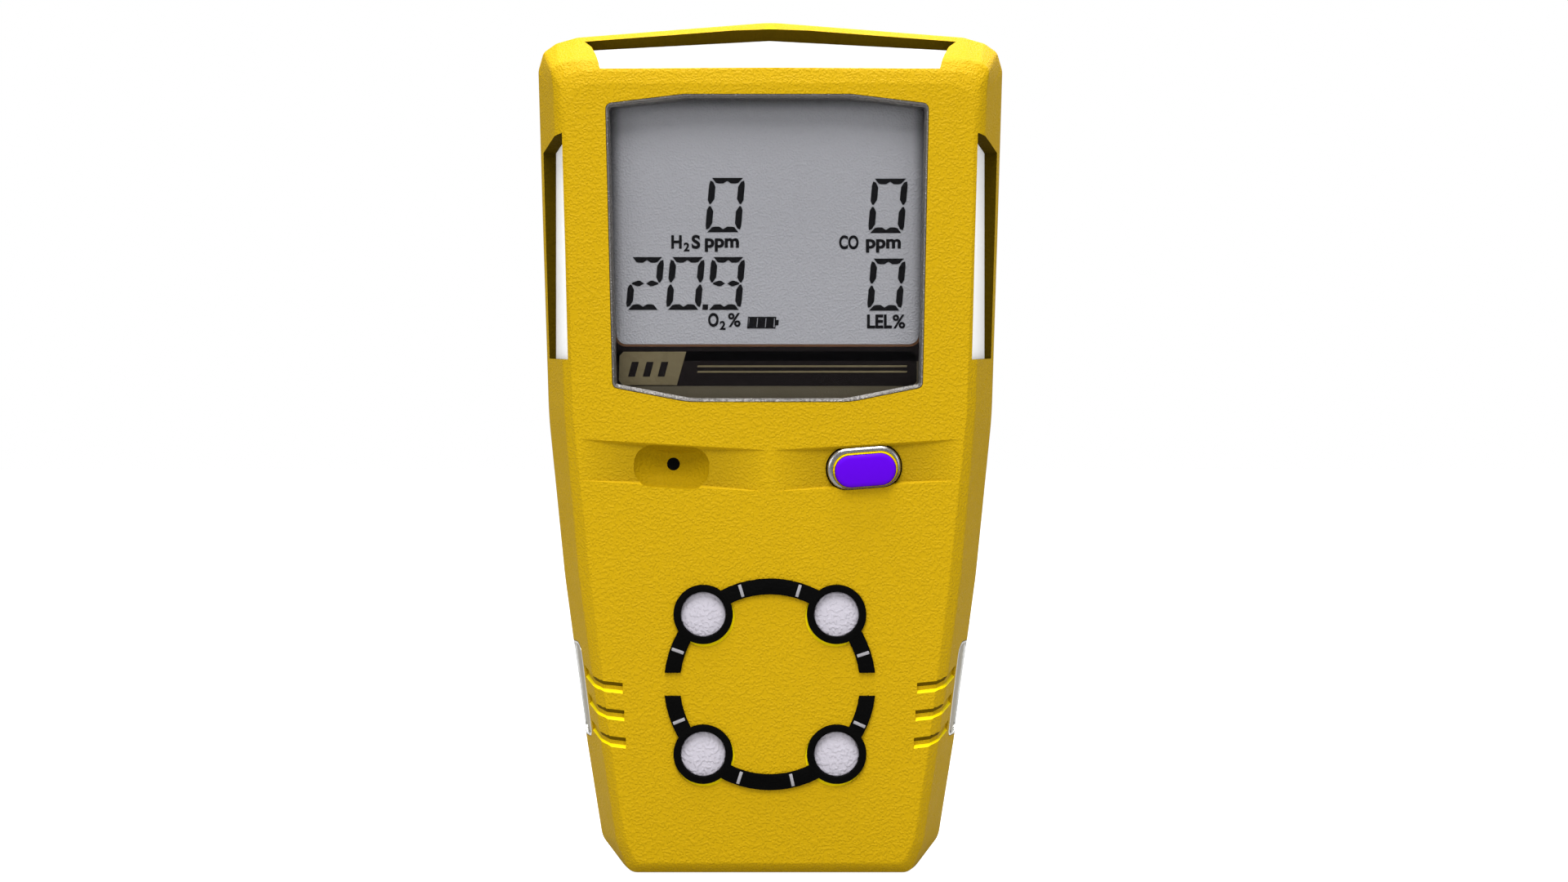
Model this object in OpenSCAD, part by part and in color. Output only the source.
// Portable four-gas detector, worn on the chest or belt by a spring clip.
// Frame: X to the right seen from the front, front face towards -Y, +Z up.
// The origin is the middle of the flat bottom on which the housing stands.

/* [Housing] */
// Height from the flat bottom to the crown
body_h = 112; // [110:0.5:114]
// Width at the widest place, near the top
body_w = 61.3; // [60.5:0.1:62.5]
// Depth from the front face to the rear face
body_d = 28; // [27:0.5:30]
// Thickness of the moulded walls
wall_t = 2.2; // [2:0.1:2.4]
// Place of the parting line behind the middle of the depth
split_y = 2; // [1:0.5:3]

/* [Display] */
// Half width of the window at its upper corners
window_half_w = 20.5; // [19:0.1:21]
// Height of the window's upper corners
window_top_z = 99.6; // [98:0.1:100]
// Height of the window's lower corners
window_bottom_z = 64; // [63.5:0.1:66]
// Width of the metal-coloured rim round the window
bezel_w = 0.8; // [0.5:0.1:1]

/* [Button and sound port] */
// Distance of the button and of the sound port from the middle
waist_x = 12.1; // [11.8:0.1:12.4]
// Height of their centres
waist_z = 53.1; // [52.8:0.1:53.4]
// Length of the button cap
button_len = 8; // [7.6:0.1:8.4]
// Height of the button cap
button_h = 4.4; // [4:0.1:4.8]
// Travel of the button
button_travel = 0.6; // [0.4:0.05:0.6]

/* [Gas ports] */
// Height of the centre of the ring of ports
ring_z = 25.7; // [25.2:0.1:26.2]
// Outer radius of the rubber ring
ring_r = 13.5; // [13:0.1:13.8]
// Distance of a port from the upright centre line
port_x = 8.5; // [8.2:0.1:8.7]
// Distance of a port above or below the ring's centre
port_dz = 8.9; // [8.7:0.1:9.2]
// Radius of the white filter in each port
filter_r = 2.9; // [2.6:0.1:3]

/* [Clip] */
// Free depth between the clip's arm and its base plate
strap_gap = 4.5; // [4.2:0.1:5]
// Width of the clip's arm
lever_w = 13; // [11:0.5:14]
// Radius of the hinge pin
pin_r = 1; // [0.9:0.1:1.2]
// Height of the hinge pin
pin_z = 80; // [78:1:82]

/* [Hidden] */
$fn = 48;
EPS = 0.01;
FIT = 0.1; // clearance of pieces that are pushed together
GAP = 0.3; // clearance of pieces that move past each other

front_y = -body_d / 2;
rear_y = body_d / 2;
half_w = body_w / 2;
inner_front_y = front_y + wall_t;
inner_rear_y = rear_y - wall_t;

// Half outlines, from the crown down to the bottom, as [distance from the middle, height]
silhouette = [
    [0, body_h], [half_w - 5.2, body_h - 2], [half_w - 2.4, body_h - 2.8],
    [half_w - 0.7, body_h - 4], [half_w, body_h - 6.4], [half_w - 0.4, 92.8],
    [half_w - 1.1, 71.3], [half_w - 1.4, 62], [half_w - 3.5, 39], [half_w - 6.4, 17.4],
    [half_w - 8.1, 6.2], [half_w - 9, 3.9], [half_w - 11.3, 1.2], [half_w - 13.2, 0]
];
edge_line = [
    [half_w - 5.2, body_h - 6], [half_w - 2.9, body_h - 7.2], [half_w - 3, 101],
    [half_w - 3.7, 80], [half_w - 4.4, 63], [half_w - 5.7, 48.4], [half_w - 7, 33.8],
    [half_w - 10.4, 8.8], [half_w - 11.6, 2.4], [half_w - 13, 1]
];
face_line = [
    [half_w - 7.8, body_h - 7.4], [half_w - 4.4, body_h - 10.4], [half_w - 4.7, 81.7],
    [half_w - 5.3, 60], [half_w - 7.1, 44], [half_w - 8.4, 33.8], [half_w - 12, 8.8],
    [half_w - 12.8, 4], [half_w - 13.4, 2.8]
];
edge_y = front_y + 1.2;   // the narrow facet round the front face ends here
widest_y = front_y + 9.5; // the side bevel ends here
rear_bevel_y = rear_y - 5;
rear_bevel_w = 3.5;

// The sloping facet above the front face, which holds the top light bar
crown_angle = atan2(7.4, 9.5);
crown_z = body_h - 7.4;

// The side bevels' angle to the depth
bevel_angle = 18;
bevel_x = half_w - 3.4;
bar_depth = 1.4;
bar_t = 1.2;
// The latch plates reach round the widest edge: distance back along the bevel, and height
latch_reach = [4.6, 10.4];
latch_z = [18.2, 30.6];

lens_front_y = front_y + 0.5;
lens_rear_y = inner_front_y + 0.8;
lens_flange = 1.3;
board_front_y = -6.5;
board_t = 1.4;
board_rear_y = board_front_y + board_t;

// Each screw's [distance from the middle, height, front end of its boss]
screw_places = [[24, 101, -10.9], [23.2, 52, -5], [17.2, 6.5, -5]];
boss_r = 2.9;
insert_r = 2;
screw_r = 1.25;
head_r = 2.2;
seat_y = rear_y - 2;

board_screw_places = [[15.5, 103.4], [17.3, 46.4]];
board_screw_r = 0.7;
board_side_x = 22;
led_t = 1.2;

sound_recess = [-waist_x - 0.4, waist_z + 0.3]; // centre of the recess of the sound port
sound_recess_size = [9.6, 5.2];
sound_hole = [-waist_x - 0.3, waist_z + 0.7];
sound_hole_r = 0.82;
buzzer_r = 6;

bezel_h = button_h + 1.1;
bezel_len = button_len + 1.5;
stem_r = 1.5;
cap_front_y = front_y - 1;
cap_rear_y = front_y + 1.1;
stem_rear_y = -10.3;
switch_front_y = -9.5;
plunger_r = 0.95;

port_ring_r = 3.8;
ring_inner_r = ring_r - 2.05;
ring_gap = 2.9;
ring_seat_y = front_y + 1;
ring_front_y = front_y - 0.5;
sensor_front_y = inner_front_y + 0.4;
sensor_rear_y = -1;
sensor_r = 8;
sensor_board_y = 0;

motor_y = 1.5;
motor_z = 100.5;
motor_r = 3;
motor_x = [-12, 2];
shaft_r = 0.42;

// The charging socket stops short of the seal's groove
socket_y = [-3.6, 0.9];
socket_half_w = 6;
socket_wall = 0.8;
infrared_place = [12, -0.6];
infrared_r = 1.5;

battery_y = [-1.5, 9];
battery_z = [48, 96];

plate_rear_y = rear_y + 1.6;
clip_screw_z = [58, 70];
clip_head_t = 0.9;
arm_y = plate_rear_y + strap_gap;
arm_t = 1.6;
pin_y = arm_y + 0.7;
ear_x = lever_w / 2 + 0.5;
ear_t = 1.4;

// ---- helpers ----

function mirrored(half) = concat(
    [for (p = half) p],
    [for (i = [len(half) - 1:-1:0]) if (half[i].x > 0) [-half[i].x, half[i].y]]
);

// The window's outline grown by g, with its arched upper and lower edges
function window_outline(g = 0) = concat(
    [for (i = [-6:6]) let (u = i / 6)
        [u * (window_half_w + g), window_top_z + g + 1.2 * (1 - u * u)]],
    [for (i = [6:-1:-6]) let (u = i / 6)
        [u * (window_half_w - 1 + g), window_bottom_z - g - 2.2 * (1 - u * u)]]
);

// An outline in X and Z, drawn out along Y from y0 to y1
module slab(y0, y1) {
    translate([0, y1, 0]) rotate([90, 0, 0]) linear_extrude(y1 - y0) children();
}

// A round bar along Y
module rod(x, z, r, y0, y1) {
    translate([x, y1, z]) rotate([90, 0, 0]) cylinder(h = y1 - y0, r = r);
}

// A round bar along X
module cross_rod(y, z, r, x0, x1) {
    translate([x0, y, z]) rotate([0, 90, 0]) cylinder(h = x1 - x0, r = r);
}

// A block given by its two corners
module block(a, b) {
    translate(a) cube(b - a);
}

// A bar with round ends, lying along X, drawn out along Y
module stadium(x, z, w, h, y0, y1) {
    block([x - (w - h) / 2, y0, z - h / 2], [x + (w - h) / 2, y1, z + h / 2]);
    for (side = [-1, 1]) rod(x + side * (w - h) / 2, z, h / 2, y0, y1);
}

module both_sides() {
    children();
    mirror([1, 0, 0]) children();
}

// The housing's form, moved inwards by depth along its faces' normals
module body_solid(depth = 0) {
    hull() {
        slab(front_y + depth, front_y + depth + EPS)
            offset(delta = -0.45 * depth) polygon(mirrored(face_line));
        slab(edge_y + 0.54 * depth, edge_y + 0.54 * depth + EPS)
            offset(delta = -0.88 * depth) polygon(mirrored(edge_line));
        slab(widest_y + 0.2 * depth, rear_bevel_y - 0.3 * depth)
            offset(delta = -depth) polygon(mirrored(silhouette));
        slab(rear_y - depth - EPS, rear_y - depth)
            offset(delta = -rear_bevel_w - 0.52 * depth) polygon(mirrored(silhouette));
    }
}

// The prism that cuts the top light bar's slot, square to the crown facet
module top_bar_prism() {
    translate([0, front_y, crown_z]) rotate([crown_angle, 0, 0]) translate([0, 0, -3.2])
        linear_extrude(5)
        polygon([[-21.7, 0.6], [21.7, 0.6], [24.2, 7.4], [0, 9.4], [-24.2, 7.4]]);
}

// A prism square to the right side bevel, over an outline of [distance back, height]
module bevel_prism(x, points) {
    translate([x, edge_y, 0]) rotate([90, 0, 90 - bevel_angle]) translate([0, 0, -3.6])
        linear_extrude(6) polygon(points);
}

module side_bar_prism() {
    bevel_prism(bevel_x, [[-0.8, 67.2], [6.9, 67.2], [6.9, 94.6], [-0.8, 96.1]]);
}

module latch_prism(inset = 0) {
    near = latch_reach[0] + inset;
    far = latch_reach[1] - inset;
    low = latch_z[0] + inset;
    high = latch_z[1] - inset;
    bevel_prism(bevel_x - 5, [
        [near, low + 0.8], [near + 0.8, low], [far, low],
        [far, high], [near + 0.8, high], [near, high - 0.8]
    ]);
}

// Three finger grooves that run outwards and upwards across the edge of the face
module grip_grooves() {
    for (i = [0:2]) translate([18.6 - 0.15 * i, 0, 25.2 - 3.5 * i]) rotate([0, -15, 0])
        stadium(4.3, 0, 9.8, 1.35, front_y - 1, front_y + 6);
}

module at_screws() {
    both_sides() for (p = screw_places) translate([p.x, 0, p.y]) children();
}

module at_board_screws() {
    both_sides() for (p = board_screw_places) translate([p.x, 0, p.y]) children();
}

function port_place(i) = [
    (i == 1 || i == 3 ? -1 : 1) * port_x,
    ring_z + (i <= 2 ? 1 : -1) * port_dz
];

// A bar light that follows the housing's form below its surface
module bar_of_light() {
    intersection() {
        difference() {
            body_solid(bar_depth);
            body_solid(bar_depth + bar_t);
        }
        children();
    }
}

// ---- housing ----

module front_shell() {
    color([0.87, 0.67, 0.04]) difference() {
        union() {
            difference() {
                body_solid();
                body_solid(wall_t);
                both_sides() difference() {
                    grip_grooves();
                    body_solid(0.9);
                }
            }
            intersection() {
                both_sides() for (p = screw_places) rod(p.x, p.y, boss_r, p.z, split_y + 1);
                body_solid(1);
            }
            at_board_screws() rod(0, 0, 1.8, inner_front_y - 0.5, board_front_y);
        }
        block([-40, split_y, -5], [40, 30, 120]);
        slab(split_y - 0.6, split_y + 1) seal_outline();
        slab(front_y - 1, inner_front_y + 1) polygon(window_outline(bezel_w));
        stadium(waist_x, waist_z, bezel_len, bezel_h, front_y - 1, inner_front_y + 1);
        stadium(sound_recess.x, sound_recess.y, sound_recess_size.x, sound_recess_size.y,
            front_y - 1, front_y + 1.2);
        rod(sound_hole.x, sound_hole.y, sound_hole_r, front_y - 1, inner_front_y + 1);
        ring_recess();
        for (i = [1:4]) let (p = port_place(i))
            rod(p.x, p.y, port_ring_r, front_y - 1, inner_front_y + 1);
        top_bar_prism();
        both_sides() side_bar_prism();
        both_sides() latch_prism();
        at_screws() rod(0, 0, insert_r, -4.2, split_y + 1);
        at_board_screws() rod(0, 0, board_screw_r, -11, board_front_y + 1);
        bottom_cuts();
    }
}

module ring_recess() {
    difference() {
        rod(0, ring_z, ring_r, front_y - 1, ring_seat_y);
        rod(0, ring_z, ring_inner_r, front_y - 2, ring_seat_y + 1);
        block([-20, front_y - 2, ring_z - ring_gap / 2], [20, 0, ring_z + ring_gap / 2]);
    }
}

module bottom_cuts() {
    block([-socket_half_w, socket_y[0], -1], [socket_half_w, socket_y[1], wall_t + 1]);
    translate([infrared_place.x, infrared_place.y, -1]) cylinder(h = wall_t + 2, r = infrared_r);
}

module rear_shell() {
    color([0.85, 0.65, 0.05]) difference() {
        union() {
            difference() {
                body_solid();
                body_solid(wall_t);
            }
            intersection() {
                at_screws() rod(0, 0, boss_r, split_y - 1, rear_y);
                body_solid(1);
            }
        }
        block([-40, -30, -5], [40, split_y, 120]);
        slab(split_y - 1, split_y + 0.6) seal_outline();
        at_screws() rod(0, 0, screw_r + 0.15, split_y - 1, rear_y + 1);
        at_screws() rod(0, 0, head_r + 0.2, seat_y, rear_y + 1);
        for (z = clip_screw_z) rod(0, z, 1, inner_rear_y - 1, rear_y + 1);
    }
}

module seal_outline() {
    difference() {
        offset(delta = -0.7) polygon(mirrored(silhouette));
        offset(delta = -1.6) polygon(mirrored(silhouette));
    }
}

module housing_seal() {
    color([0.1, 0.1, 0.1]) slab(split_y - 0.6, split_y + 0.6) seal_outline();
}

module shell_screws() {
    color("silver") at_screws() {
        rod(0, 0, screw_r, -3.5, seat_y);
        difference() {
            rod(0, 0, head_r, seat_y, seat_y + 1.5);
            for (turn = [0, 60, 120]) translate([0, seat_y + 1.3, 0]) rotate([0, turn, 0])
                block([-1.1, -0.4, -0.28], [1.1, 0.6, 0.28]);
        }
    }
}

module threaded_inserts() {
    color("goldenrod") at_screws() difference() {
        rod(0, 0, insert_r, -4.2, split_y - 0.2);
        rod(0, 0, screw_r, -5, split_y + 1);
    }
}

module top_light_bar() {
    color("white") bar_of_light() top_bar_prism();
}

module right_light_bar() {
    color("white") bar_of_light() side_bar_prism();
}

module left_light_bar() {
    mirror([1, 0, 0]) right_light_bar();
}

// ---- display ----

module window_bezel() {
    color([0.5, 0.49, 0.45]) slab(front_y, inner_front_y) difference() {
        polygon(window_outline(bezel_w));
        polygon(window_outline());
    }
}

module window_lens() {
    color([0.65, 0.67, 0.7, 0.4]) {
        slab(lens_front_y, inner_front_y) polygon(window_outline());
        slab(inner_front_y, lens_rear_y) polygon(window_outline(lens_flange));
    }
}

module nameplate() {
    color([0.15, 0.15, 0.13])
        block([-20.4, lens_rear_y, 62.4], [20.4, lens_rear_y + 0.3, 68.6]);
}

module lcd_glass() {
    color([0.64, 0.66, 0.68]) block([-20.1, -10.7, 69], [20.1, -8.9, 99.8]);
}

module lcd_frame() {
    color([0.12, 0.12, 0.12]) difference() {
        block([-20.9, -10.7, 61.4], [20.9, -6.7, 100.9]);
        block([-20.1, -12, 69], [20.1, -5, 99.8]);
        block([-15.5, -9.5, 63], [15.5, -5, 67.5]);
    }
}

module lcd_backlight() {
    color([0.92, 0.94, 0.95]) block([-19.9, -8.9, 71.4], [19.9, -6.9, 99.6]);
}

module zebra_strip() {
    color([0.3, 0.3, 0.35]) block([-18, -8.9, 69.3], [18, board_front_y, 70.9]);
}

// ---- button and sounder ----

module button_bezel() {
    color([0.75, 0.76, 0.78]) difference() {
        stadium(waist_x, waist_z, bezel_len, bezel_h, front_y - 0.3, inner_front_y);
        stadium(waist_x, waist_z, button_len + 2 * GAP, button_h + 2 * GAP,
            front_y - 1, inner_front_y + 1);
    }
}

module button_cap() {
    color([0.35, 0, 0.85]) {
        stadium(waist_x, waist_z, button_len, button_h, cap_front_y, cap_rear_y);
        rod(waist_x, waist_z, stem_r, cap_rear_y, stem_rear_y);
    }
}

module button_boot() {
    color([0.15, 0.15, 0.15]) difference() {
        stadium(waist_x, waist_z, 12, 8, inner_front_y, inner_front_y + 0.8);
        rod(waist_x, waist_z, stem_r + GAP, inner_front_y - 1, inner_front_y + 2);
    }
}

module button_switch() {
    color([0.2, 0.2, 0.22]) difference() {
        block([waist_x - 3, switch_front_y, waist_z - 3],
            [waist_x + 3, board_front_y, waist_z + 3]);
        rod(waist_x, waist_z, plunger_r + GAP, switch_front_y - 1, switch_front_y + 2.1);
    }
}

module switch_plunger() {
    color([0.9, 0.85, 0.7])
        rod(waist_x, waist_z, plunger_r, stem_rear_y, switch_front_y + 1);
}

module sound_membrane() {
    color([0.1, 0.1, 0.1])
        rod(sound_hole.x, sound_hole.y, 3, inner_front_y, inner_front_y + 0.3);
}

module buzzer_gasket() {
    color([0.12, 0.12, 0.12]) difference() {
        rod(sound_hole.x, waist_z, buzzer_r, inner_front_y, inner_front_y + 0.9);
        rod(sound_hole.x, waist_z, buzzer_r - 1.8, inner_front_y - 1, inner_front_y + 2);
    }
}

module buzzer() {
    color([0.18, 0.18, 0.18]) difference() {
        rod(sound_hole.x, waist_z, buzzer_r, inner_front_y + 0.9, board_front_y);
        rod(sound_hole.x, waist_z, 1, inner_front_y, inner_front_y + 3);
    }
}

// ---- electronics ----

module main_board() {
    outline = [
        [18.5, 105.2], [19.3, 99], [board_side_x, 95], [board_side_x, 60], [19.3, 56],
        [19.3, 44]
    ];
    color([0.05, 0.35, 0.2]) difference() {
        slab(board_front_y, board_rear_y) polygon(mirrored(outline));
        at_board_screws() rod(0, 0, 0.8, board_front_y - 1, board_rear_y + 1);
    }
}

module board_screws() {
    color("silver") at_board_screws() {
        rod(0, 0, board_screw_r, -10.5, board_rear_y);
        rod(0, 0, 1.5, board_rear_y, board_rear_y + 1);
    }
}

module alarm_leds() {
    color([0.95, 0.9, 0.9]) {
        for (x = [-10, 0, 10])
            block([x - 1, board_front_y - led_t, 103.4], [x + 1, board_front_y, 105]);
        both_sides() for (z = [76, 88])
            block([board_side_x, board_rear_y - 2, z - 1],
                [board_side_x + led_t, board_rear_y, z + 1]);
    }
}

module motor_boot() {
    color([0.13, 0.13, 0.13]) difference() {
        block([-11, board_rear_y, motor_z - 3.8], [-1, motor_y + 3.8, motor_z + 3.8]);
        cross_rod(motor_y, motor_z, motor_r, -12, 0);
    }
}

module vibration_motor() {
    color([0.75, 0.75, 0.77]) difference() {
        cross_rod(motor_y, motor_z, motor_r, motor_x[0], motor_x[1]);
        cross_rod(motor_y, motor_z, shaft_r + 0.06, motor_x[0] + 2, motor_x[1] + 1);
    }
}

module motor_shaft() {
    color([0.8, 0.8, 0.82])
        cross_rod(motor_y, motor_z, shaft_r, motor_x[0] + 2.4, motor_x[1] + 5);
}

module vibration_weight() {
    color([0.55, 0.55, 0.58]) difference() {
        cross_rod(motor_y, motor_z, 2.8, motor_x[1] + 1, motor_x[1] + 4.8);
        block([motor_x[1], motor_y - 4, motor_z + 0.9],
            [motor_x[1] + 6, motor_y + 4, motor_z + 4]);
        cross_rod(motor_y, motor_z, shaft_r, motor_x[1], motor_x[1] + 6);
    }
}

module battery_pack() {
    color([0.2, 0.25, 0.5])
        block([-17, battery_y[0], battery_z[0]], [17, battery_y[1], battery_z[1]]);
}

module battery_pad() {
    color([0.25, 0.25, 0.25]) block([-13, battery_y[1], battery_z[0] + 4],
        [13, inner_rear_y, battery_z[1] - 6]);
}

module battery_connector() {
    color([0.9, 0.88, 0.8]) block([7, board_rear_y, 49], [13, battery_y[0], 54]);
}

// ---- gas sensing ----

// Half of the split rubber ring with its two ports, seen above the middle
module upper_ring() {
    difference() {
        union() {
            difference() {
                rod(0, ring_z, ring_r, ring_front_y, ring_seat_y);
                rod(0, ring_z, ring_inner_r, ring_front_y - 1, ring_seat_y + 1);
            }
            for (i = [1, 2]) let (p = port_place(i))
                rod(p.x, p.y, port_ring_r, ring_front_y, sensor_front_y);
        }
        for (i = [1, 2]) let (p = port_place(i))
            rod(p.x, p.y, filter_r, ring_front_y - 1, sensor_front_y + 1);
        block([-20, -30, ring_z - 20], [20, 0, ring_z + ring_gap / 2]);
    }
}

module sensor_gasket_upper() {
    color([0.13, 0.13, 0.13]) upper_ring();
}

module sensor_gasket_lower() {
    color([0.13, 0.13, 0.13])
        translate([0, 0, 2 * ring_z]) mirror([0, 0, 1]) upper_ring();
}

module port_filter(i) {
    p = port_place(i);
    color([0.85, 0.83, 0.87]) rod(p.x, p.y, filter_r, front_y + 0.4, front_y + 0.9);
}

module gas_sensor(i) {
    p = port_place(i);
    tones = [[0.85, 0.85, 0.85], [0.3, 0.45, 0.75], [0.75, 0.35, 0.3], [0.4, 0.42, 0.4]];
    color(tones[i - 1]) difference() {
        rod(p.x, p.y, sensor_r, sensor_front_y, sensor_rear_y);
        rod(p.x, p.y, 1.5, sensor_front_y - 1, sensor_front_y + 1);
    }
}

module sensor_tray() {
    color([0.2, 0.2, 0.2]) difference() {
        union() {
            for (i = [1:4]) let (p = port_place(i)) rod(p.x, p.y, sensor_r + 1.2, -8, -5);
            block([-4, -8, ring_z - 11], [4, -5, ring_z + 11]);
        }
        for (i = [1:4]) let (p = port_place(i)) rod(p.x, p.y, sensor_r + FIT, -9, -4);
    }
}

module sensor_pins() {
    color("gold") for (i = [1:4]) let (p = port_place(i)) for (turn = [90:120:330])
        rod(p.x + 4.5 * cos(turn), p.y + 4.5 * sin(turn), 0.8,
            sensor_rear_y, sensor_board_y);
}

module sensor_board() {
    outline = [[17, 43], [16.5, 11], [12.5, 6]];
    color([0.05, 0.35, 0.2])
        slab(sensor_board_y, sensor_board_y + board_t) polygon(mirrored(outline));
}

module sensor_flex() {
    y0 = board_rear_y;
    color([0.75, 0.45, 0.1]) {
        block([-6, y0, 44.5], [6, y0 + 0.3, 47.5]);
        block([-6, y0, 44.2], [6, -0.3, 44.5]);
        block([-6, -0.3, 40], [6, 0, 44.5]);
    }
}

// ---- cradle side ----

module right_latch_plate() {
    color([0.78, 0.79, 0.8]) difference() {
        intersection() {
            difference() {
                body_solid();
                body_solid(wall_t);
            }
            latch_prism();
        }
        difference() {
            latch_prism(0.9);
            body_solid(0.9);
        }
    }
}

module left_latch_plate() {
    mirror([1, 0, 0]) right_latch_plate();
}

module charge_socket() {
    color([0.1, 0.1, 0.1]) difference() {
        block([-socket_half_w, socket_y[0], 0.2], [socket_half_w, socket_y[1], 6]);
        block([-socket_half_w + 1, socket_y[0] + socket_wall, -1],
            [socket_half_w - 1, socket_y[1] - socket_wall, 4]);
    }
}

module charge_contacts() {
    color("gold") for (x = [-3.6:2.4:3.6])
        block([x - 0.4, -1.9, 1.2], [x + 0.4, -0.7, 4]);
}

module infrared_window() {
    color([0.25, 0.02, 0.05]) translate([infrared_place.x, infrared_place.y, 0.2])
        cylinder(h = wall_t + 0.8, r = infrared_r);
}

// ---- spring clip ----

module clip_base() {
    color([0.16, 0.16, 0.17]) difference() {
        union() {
            block([-ear_x - ear_t, rear_y, 46], [ear_x + ear_t, plate_rear_y, 86]);
            both_sides() {
                cross_rod(pin_y, pin_z, 2.6, ear_x, ear_x + ear_t);
                block([ear_x, rear_y, pin_z - 2.6], [ear_x + ear_t, pin_y, pin_z + 2.6]);
            }
            for (z = [47, 48.6]) block([-6, plate_rear_y, z], [6, plate_rear_y + 0.3, z + 0.7]);
        }
        cross_rod(pin_y, pin_z, pin_r, -20, 20);
        for (z = clip_screw_z) {
            rod(0, z, 1, rear_y - 1, plate_rear_y + 1);
            rod(0, z, 2, plate_rear_y - clip_head_t, plate_rear_y + 1);
        }
    }
}

module clip_lever() {
    profile = [
        [arm_y, 52], [arm_y, 86], [arm_y + 2.8, 96.5], [arm_y + 4.3, 96.1],
        [arm_y + arm_t, 85.6], [arm_y + arm_t, 46.4], [plate_rear_y + 0.7, 46.4],
        [plate_rear_y + 0.7, 49.6], [plate_rear_y + 2.2, 49.6]
    ];
    color([0.72, 0.73, 0.75]) difference() {
        union() {
            difference() {
                translate([-lever_w / 2, 0, 0]) rotate([90, 0, 90])
                    linear_extrude(lever_w) polygon(profile);
                block([-4.2, arm_y - 1, pin_z - 3.2], [4.2, arm_y + 3, pin_z + 3.2]);
            }
            both_sides() cross_rod(pin_y, pin_z, 2.2, 4.2, lever_w / 2);
        }
        cross_rod(pin_y, pin_z, pin_r + 0.06, -20, 20);
    }
}

module clip_pin() {
    color("silver") cross_rod(pin_y, pin_z, pin_r, -ear_x - ear_t, ear_x + ear_t);
}

module clip_spring() {
    wire_r = 0.35;
    coil_r = 1.75;
    color([0.6, 0.6, 0.62]) {
        for (i = [-5:5]) translate([i * 0.6, pin_y, pin_z]) rotate([0, 90, 0])
            rotate_extrude() translate([coil_r, 0]) circle(r = wire_r, $fn = 16);
        translate([-3, pin_y - coil_r, pin_z]) rotate([128, 0, 0]) cylinder(h = 4, r = wire_r);
        translate([3, pin_y - coil_r, pin_z]) rotate([15, 0, 0]) cylinder(h = 4.5, r = wire_r);
    }
}

module clip_screws() {
    color("silver") for (z = clip_screw_z) {
        rod(0, z, 1, inner_rear_y + 0.3, plate_rear_y - clip_head_t);
        difference() {
            rod(0, z, 1.9, plate_rear_y - clip_head_t, plate_rear_y);
            block([-0.3, plate_rear_y - 0.4, z - 1.2], [0.3, plate_rear_y + 1, z + 1.2]);
        }
    }
}

front_shell();
rear_shell();
housing_seal();
shell_screws();
threaded_inserts();
top_light_bar();
left_light_bar();
right_light_bar();
window_bezel();
window_lens();
nameplate();
lcd_glass();
lcd_frame();
lcd_backlight();
zebra_strip();
button_bezel();
button_cap();
button_boot();
button_switch();
switch_plunger();
sound_membrane();
buzzer_gasket();
buzzer();
main_board();
board_screws();
alarm_leds();
motor_boot();
vibration_motor();
motor_shaft();
vibration_weight();
battery_pack();
battery_pad();
battery_connector();
sensor_gasket_upper();
sensor_gasket_lower();
port_filter(1);  // port_filter_1
port_filter(2);  // port_filter_2
port_filter(3);  // port_filter_3
port_filter(4);  // port_filter_4
gas_sensor(1);  // gas_sensor_1
gas_sensor(2);  // gas_sensor_2
gas_sensor(3);  // gas_sensor_3
gas_sensor(4);  // gas_sensor_4
sensor_tray();
sensor_pins();
sensor_board();
sensor_flex();
left_latch_plate();
right_latch_plate();
charge_socket();
charge_contacts();
infrared_window();
clip_base();
clip_lever();
clip_pin();
clip_spring();
clip_screws();
